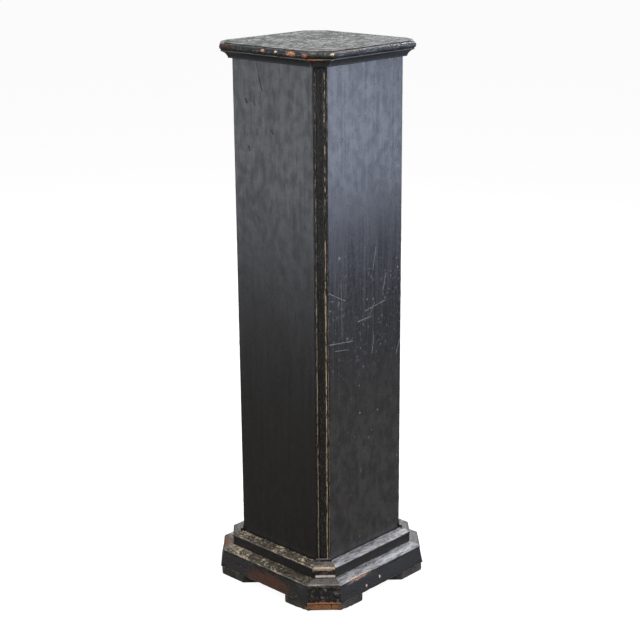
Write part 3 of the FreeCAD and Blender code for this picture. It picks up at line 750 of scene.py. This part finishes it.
STEP_CORNER_PATCHES = patches_from(FLOOR_CORNER, [
    ((-43.4, 43.4, 83), (48, 48, 7), 0.6, 0.9),
])
POST_PATCHES = patches_from(FLOOR_CORNER, [
    ((-62.4, 50.4, 70), (5, 5, 8), 0.3, CHALKY),
    ((-52.4, 60.4, 68), (5, 5, 7), 0.3, CHALKY),
])
FRAME_PATCHES = patches_from(FLOOR_CORNER, [
    ((-159.4, 2.4, 34), (96, 6, 34), 0.3, 0.08),
    ((-6.4, 108.4, 54), (6, 46, 4), 0.4, FRESH),
    ((-3.4, 125.4, 31), (4, 4, 4), 0.4, CHALKY),
    ((-3.4, 166.4, 36), (4, 4, 4), 0.4, CHALKY),
])
FRAME_CORNER_PATCHES = patches_from(FLOOR_CORNER, [
    ((-324.4, 24.4, 50), (50, 50, 26), 0.3, 0.25),
    ((-26.4, 26.4, 21), (60, 60, 4), 0.6, 0.55),
])
FOOT_PATCHES = patches_from(FLOOR_CORNER, [
    ((-26.4, 26.4, 12), (52, 52, 22), 1.2, 0.55),
    ((-26.4, 26.4, 1), (70, 70, 6), 2.0, 0.75),
])

# Worn lines: offsets of the start and end from the corner, half width and strength.
NOSE_BANDS = lines_from(FLOOR_CORNER, [
    ((-58.4, 29.4, 83.5), (-27.4, 60.4, 83.5), 4.8, 1.6),
])
CORNER_LINES = lines_from(FLOOR_CORNER, [
    ((-54.4, 33.4, 67), (-27.4, 60.4, 67), 3.6, 2.4),
    ((-21.4, 61.4, 82), (-24.4, 58.4, 66), 1.2, 0.7),
])
END_CRACK = lines_from(FLOOR_CORNER, [
    ((-19.4, 39.4, 0), (-18.9, 37.9, 24), 3.0, 1.6),
    ((-48.4, 10.4, 7), (-8.4, 49.4, 9), 2.0, 0.7),
])
CORNICE_ORANGE = lines_from(TOP_CORNER, [
    ((-37, 5, -17), (-19, 23, -18), 5.0, 1.5),
])
# Cream worn lines on the cornice; the long straight one along the right side is partly a painted highlight
# on the fillet's lower edge.
CORNICE_CREAM_AND_HIGHLIGHT = lines_from(TOP_CORNER, [
    ((-17, 25, -19), (-2, 41, -18), 2.2, 1.0),
    ((-5, 47, -17), (-5, 91, -17), 0.9, 0.7),
    ((-21, 35, -30), (-21, 256, -30), 2.0, 0.9),
])

# Marks on a shaft board: start and end as places across it and heights, half width and strength.
BOARD_NICKS = lines_on_board("front", [
    ((-40, 1067), (-34, 1040), 1.3, 0.9),
    ((-34, 1040), (-26, 1014), 1.5, 1.0),
    ((-71, 996), (-68, 989), 2.6, 1.0),
    ((-50, 993), (-46, 986), 2.3, 0.9),
    ((-3, 943), (2, 937), 2.6, 0.9),
    ((-66, 906), (-62, 898), 2.6, 0.9),
])
SCRATCHES = lines_on_board("right", [
    ((-30, 1016), (23, 1017), 1.2, 0.7),
    ((-41, 1032), (34, 1030), 1.1, 0.6),
    ((-95, 1047), (-84, 1062), 1.1, 0.7),
    ((-84, 1062), (-55, 1067), 1.1, 0.7),
    ((-90, 1034), (-71, 1055), 1.1, 0.7),
    ((-71, 1055), (-39, 1061), 1.1, 0.7),
    ((-120, 653), (-59, 621), 1.0, 0.8),
    ((-2, 588), (57, 597), 1.1, 0.8),
    ((26, 599), (10, 572), 1.0, 0.7),
    ((-22, 571), (16, 573), 1.3, 0.8),
    ((25, 532), (19, 497), 1.1, 0.8),
    ((-109, 935), (-72, 933), 1.1, 0.8),
    ((-58, 976), (11, 974), 1.0, 0.8),
    ((30, 710), (21, 666), 1.0, 0.8),
    ((60, 654), (51, 619), 1.0, 0.8),
    ((103, 506), (92, 476), 1.0, 0.8),
    ((-102, 542), (-37, 535), 1.2, 0.8),
    ((-88, 526), (-52, 521), 1.0, 0.6),
    ((-70, 662), (-67, 545), 0.8, 0.5),
])


# ---------------------------------------------------------------- operators

def give(piece, material):
    """Leave a piece with one material."""
    piece.data.materials.clear()
    piece.data.materials.append(material)


def finish_group(pieces, material):
    """Give worn pieces their material."""
    for piece in pieces:
        give(piece, material)


def finish_mouldings(sides, corners, name):
    """Lit and shaded copies of one paint. The right and back mouldings, on the side of the window and rim
    lights, get pale dust that also paints their highlight. The left and front get darker dust that paints
    their shade, and more scuffing. The corners are crazed.
    """
    # Painted highlight and painted shade: the pale dust of the right and back stands in for the light they
    # catch, the darker dust of the left and front for their shade.
    dusty_lit_side = Ebonised(f"dusty_{name}", along="y")
    dusty_lit_side.dust(0.9, "#a0a2a6")
    dusty_lit_side.speckle(0.25)
    scuffed_shaded_side = Ebonised(f"scuffed_{name}", along="y")
    scuffed_shaded_side.dust(0.5, "#6d675c")
    scuffed_shaded_side.speckle(0.65)
    crazed = Ebonised(f"crazed_{name}_corner", along="y")
    crazed.dust(0.5, "#85827e")
    crazed.craze(0.4)
    crazed.scratches(CORNER_LINES, "#f4ede2")
    crazed.scratches(NOSE_BANDS, "#eba982")
    right, back, left, front = sides
    for paint, pieces in ((dusty_lit_side, (right, back)), (scuffed_shaded_side, (left, front)), (crazed, corners)):
        paint.nose_line(0.6)
        paint.pit(0.5)
        paint.rub_edges(0.5, reach=1.5)
        paint.patches()
        finish_group(pieces, paint.finish(0.32))


class PLINTH_OT_top(bpy.types.Operator):
    """Wear the top board and wrinkle its varnish"""

    bl_idname = "plinth.top"
    bl_label = "Top board"

    def execute(self, context):
        board = worn_copy("top_board", 1, (8, 8, 2.5), TOP_PATCHES)
        # Strong grey on the top: bloom plus painted sheen of the light from above.
        paint = Ebonised("ebonised_top", along="y", bloom_and_sheen=1.5)
        paint.wrinkle(0.7)
        paint.rub_edges(0.3, BROWN)
        paint.patches()
        finish_group([board], paint.finish(0.34))
        return {"FINISHED"}


class PLINTH_OT_cornice(bpy.types.Operator):
    """Wear the mouldings under the top board"""

    bl_idname = "plinth.cornice"
    bl_label = "Cornice"

    def execute(self, context):
        sides = worn_group("cornice", SIDES, 2, (None, 6, 2.5), CORNICE_PATCHES)
        corners = worn_group("cornice_corner", CORNERS, 6, (None, 6, 2.5), CORNICE_PATCHES)
        # Strong grey on the cornice: bloom plus painted sheen that lightens it in the shade of the top
        # board.
        paint = Ebonised("ebonised_cornice", along="y", bloom_and_sheen=1.6)
        paint.dust(0.4, "#7c7a74")
        paint.rub_edges(0.65, reach=1.6)
        paint.scratches(CORNICE_ORANGE, "#d07e4c")
        # Cream wear, and a painted highlight along the right fillet.
        paint.scratches(CORNICE_CREAM_AND_HIGHLIGHT, "#cdbfa4")
        paint.patches()
        finish_group(sides + corners, paint.finish(0.36))
        return {"FINISHED"}


class PLINTH_OT_boards(bpy.types.Operator):
    """Wear the four shaft boards and scratch the right one"""

    bl_idname = "plinth.boards"
    bl_label = "Shaft boards"

    def execute(self, context):
        plain = Ebonised("ebonised_board", bloom_and_sheen=0.8, streaks=0.2)
        plain.smoke(0.45)
        plain.rub_edges(0.2, reach=1.2)
        plain.scratches(BOARD_NICKS, "#0c0c0c")
        marked = Ebonised("ebonised_scratched_board", bloom_and_sheen=0.9)
        marked.smoke(0.4)
        marked.scuffs(620, 0.36)
        marked.rub_edges(0.35, reach=1.2)
        marked.dots(17)
        marked.hairlines(400, 760)
        marked.scratches(SCRATCHES)
        right, *others = worn_group("shaft_board", SIDES, 12, (None, 10, 10))
        finish_group(others, plain.finish(0.32))
        finish_group([right], marked.finish(0.24))
        return {"FINISHED"}


class PLINTH_OT_posts(bpy.types.Operator):
    """Wear the reeded corner posts down to pale lines"""

    bl_idname = "plinth.posts"
    bl_label = "Corner posts"

    def execute(self, context):
        pieces = worn_group("corner_post", CORNERS, 18, (None, None, 8), POST_PATCHES, 0.3)
        paint = Ebonised("ebonised_reeds", bloom_and_sheen=0.5)
        paint.reeds()
        paint.patches()
        finish_group(pieces, paint.finish(0.36))
        return {"FINISHED"}


class PLINTH_OT_step(bpy.types.Operator):
    """Wear the step moulding round the foot of the shaft"""

    bl_idname = "plinth.step"
    bl_label = "Step moulding"

    def execute(self, context):
        sides = worn_group("step", SIDES, 24, (None, 5, 5), STEP_PATCHES)
        corners = worn_group("step_corner", CORNERS, 28, (None, 5, 5), STEP_CORNER_PATCHES)
        finish_mouldings(sides, corners, "step")
        return {"FINISHED"}


class PLINTH_OT_base_frame(bpy.types.Operator):
    """Wear the plinth frame and craze the varnish of its corner blocks"""

    bl_idname = "plinth.base_frame"
    bl_label = "Plinth frame"

    def execute(self, context):
        sides = worn_group("frame", SIDES, 34, (None, 5, 5), FRAME_PATCHES)
        corners = worn_group("frame_corner", CORNERS, 40, (None, 4, 4), FRAME_CORNER_PATCHES)
        finish_mouldings(sides, corners, "frame")
        return {"FINISHED"}


class PLINTH_OT_feet(bpy.types.Operator):
    """Wear the block feet down to brown wood at their ends"""

    bl_idname = "plinth.feet"
    bl_label = "Feet"

    def execute(self, context):
        pieces = worn_group("foot", CORNERS, 46, (6, 6, 4), FOOT_PATCHES)
        paint = Ebonised("worn_foot_paint", along="y")
        paint.smoke(0.5)
        paint.scuffs(42, 0.8)
        paint.rub_edges(0.7, BROWN)
        paint.patches()
        paint.scratches(END_CRACK, "#1a100b")
        finish_group(pieces, paint.finish(0.4))
        return {"FINISHED"}


class PLINTH_OT_hidden_wood(bpy.types.Operator):
    """Give the boards and blocks inside their bare pine"""

    bl_idname = "plinth.hidden_wood"
    bl_label = "Hidden wood"

    def execute(self, context):
        pine = bare_pine("bare_pine_aged")
        names = ["top_bulkhead", "bottom_bulkhead", "base_board"] + [f"glue_block_{c}" for c in CORNERS]
        for name in names:
            give(NODES[name], pine)
        return {"FINISHED"}


class PLINTH_OT_screws(bpy.types.Operator):
    """Give the screws their dull steel"""

    bl_idname = "plinth.screws"
    bl_label = "Screws"

    def execute(self, context):
        steel = dull_steel("dull_steel_screw")
        for name in ("foot_screws", "base_screws", "top_screws"):
            give(NODES[name], steel)
        return {"FINISHED"}


def softbox(name, power):
    """A rectangular area light that the camera doesn't see."""
    place, target, size, tint, turn = SOFTBOXES[name]
    data = bpy.data.lights.new(name, "AREA")
    data.shape = "RECTANGLE"
    data.size, data.size_y = size
    data.energy = power
    data.color = linear(tint)[:3]
    light = bpy.data.objects.new(name, data)
    light.location = place
    light.rotation_euler = (Vector(target) - Vector(place)).to_track_quat("-Z", "Y").to_euler()
    light.rotation_euler.rotate_axis("Z", math.radians(turn))
    light.visible_camera = False
    bpy.context.scene.collection.objects.link(light)


class PLINTH_OT_stage(bpy.types.Operator):
    """Lay the floor, light it softly and set up the camera"""

    bl_idname = "plinth.stage"
    bl_label = "Stage"

    def execute(self, context):
        stage = context.scene.plinth_stage
        bm = bmesh.new()
        bmesh.ops.create_grid(bm, x_segments=4, y_segments=4, size=FLOOR_HALF_WIDTH)
        mesh = bpy.data.meshes.new("floor")
        bm.to_mesh(mesh)
        bm.free()
        floor = bpy.data.objects.new("floor", mesh)
        mesh.materials.append(backdrop_paper("white_backdrop_paper"))
        context.scene.collection.objects.link(floor)

        for name in SOFTBOXES:
            softbox(name, getattr(stage, name))

        world = bpy.data.worlds.new("studio")
        world.use_nodes = True
        tree = world.node_tree
        tree.nodes.clear()
        seen = add(tree, "LightPath", output="Is Camera Ray")
        glow = add(tree, "MapRange", (seen, 0, 1, WALL_GLOW, 1.0))
        background = add(tree, "Background", {"Color": (1, 1, 1, 1), "Strength": glow})
        add(tree, "OutputWorld", {"Surface": background})
        context.scene.world = world

        azimuth, elevation, roll = stage.azimuth, stage.elevation, stage.roll
        ahead = Vector((-math.sin(azimuth) * math.cos(elevation),
                        math.cos(azimuth) * math.cos(elevation), -math.sin(elevation)))
        level = Vector((math.cos(azimuth), math.sin(azimuth), 0))
        over = level.cross(ahead)
        right = level * math.cos(roll) + over * math.sin(roll)
        up = over * math.cos(roll) - level * math.sin(roll)
        lens = bpy.data.cameras.new("camera")
        lens.lens = stage.lens
        lens.sensor_width = SENSOR_WIDTH
        camera = bpy.data.objects.new("camera", lens)
        turn = Matrix((right, up, -ahead)).transposed()
        camera.matrix_world = Matrix.Translation(stage.station) @ turn.to_4x4()
        context.scene.collection.objects.link(camera)
        context.scene.camera = camera
        context.scene.view_settings.view_transform = "Standard"
        return {"FINISHED"}


OPERATORS = (
    PLINTH_OT_stage, PLINTH_OT_top, PLINTH_OT_cornice, PLINTH_OT_boards, PLINTH_OT_posts,
    PLINTH_OT_step, PLINTH_OT_base_frame, PLINTH_OT_feet, PLINTH_OT_hidden_wood, PLINTH_OT_screws,
)


class PLINTH_PT_panel(bpy.types.Panel):
    """Lists the plinth's settings and its pieces"""

    bl_idname = "PLINTH_PT_panel"
    bl_label = "Ebonised plinth"
    bl_space_type = "VIEW_3D"
    bl_region_type = "UI"
    bl_category = "Plinth"

    def draw(self, context):
        for group in (context.scene.plinth_wear, context.scene.plinth_finish, context.scene.plinth_stage):
            box = self.layout.box()
            for name in group.bl_rna.properties.keys():
                if name not in ("rna_type", "name"):
                    box.prop(group, name)
        for operator in OPERATORS:
            self.layout.operator(operator.bl_idname)


GROUPS = {
    "plinth_wear": PlinthWearSettings,
    "plinth_finish": PlinthFinishSettings,
    "plinth_stage": PlinthStageSettings,
}
CLASSES = (*GROUPS.values(), *OPERATORS, PLINTH_PT_panel)


def register():
    """Register the classes and hang the settings on the scene."""
    for item in CLASSES:
        bpy.utils.register_class(item)
    for name, group in GROUPS.items():
        setattr(bpy.types.Scene, name, PointerProperty(type=group))


def unregister():
    """Take the settings and the classes away again."""
    for name in GROUPS:
        delattr(bpy.types.Scene, name)
    for item in reversed(CLASSES):
        bpy.utils.unregister_class(item)


def main():
    """Build every piece and the stage."""
    register()
    for operator in OPERATORS:
        group, name = operator.bl_idname.split(".")
        getattr(getattr(bpy.ops, group), name)()


if __name__ == "__main__":
    main()
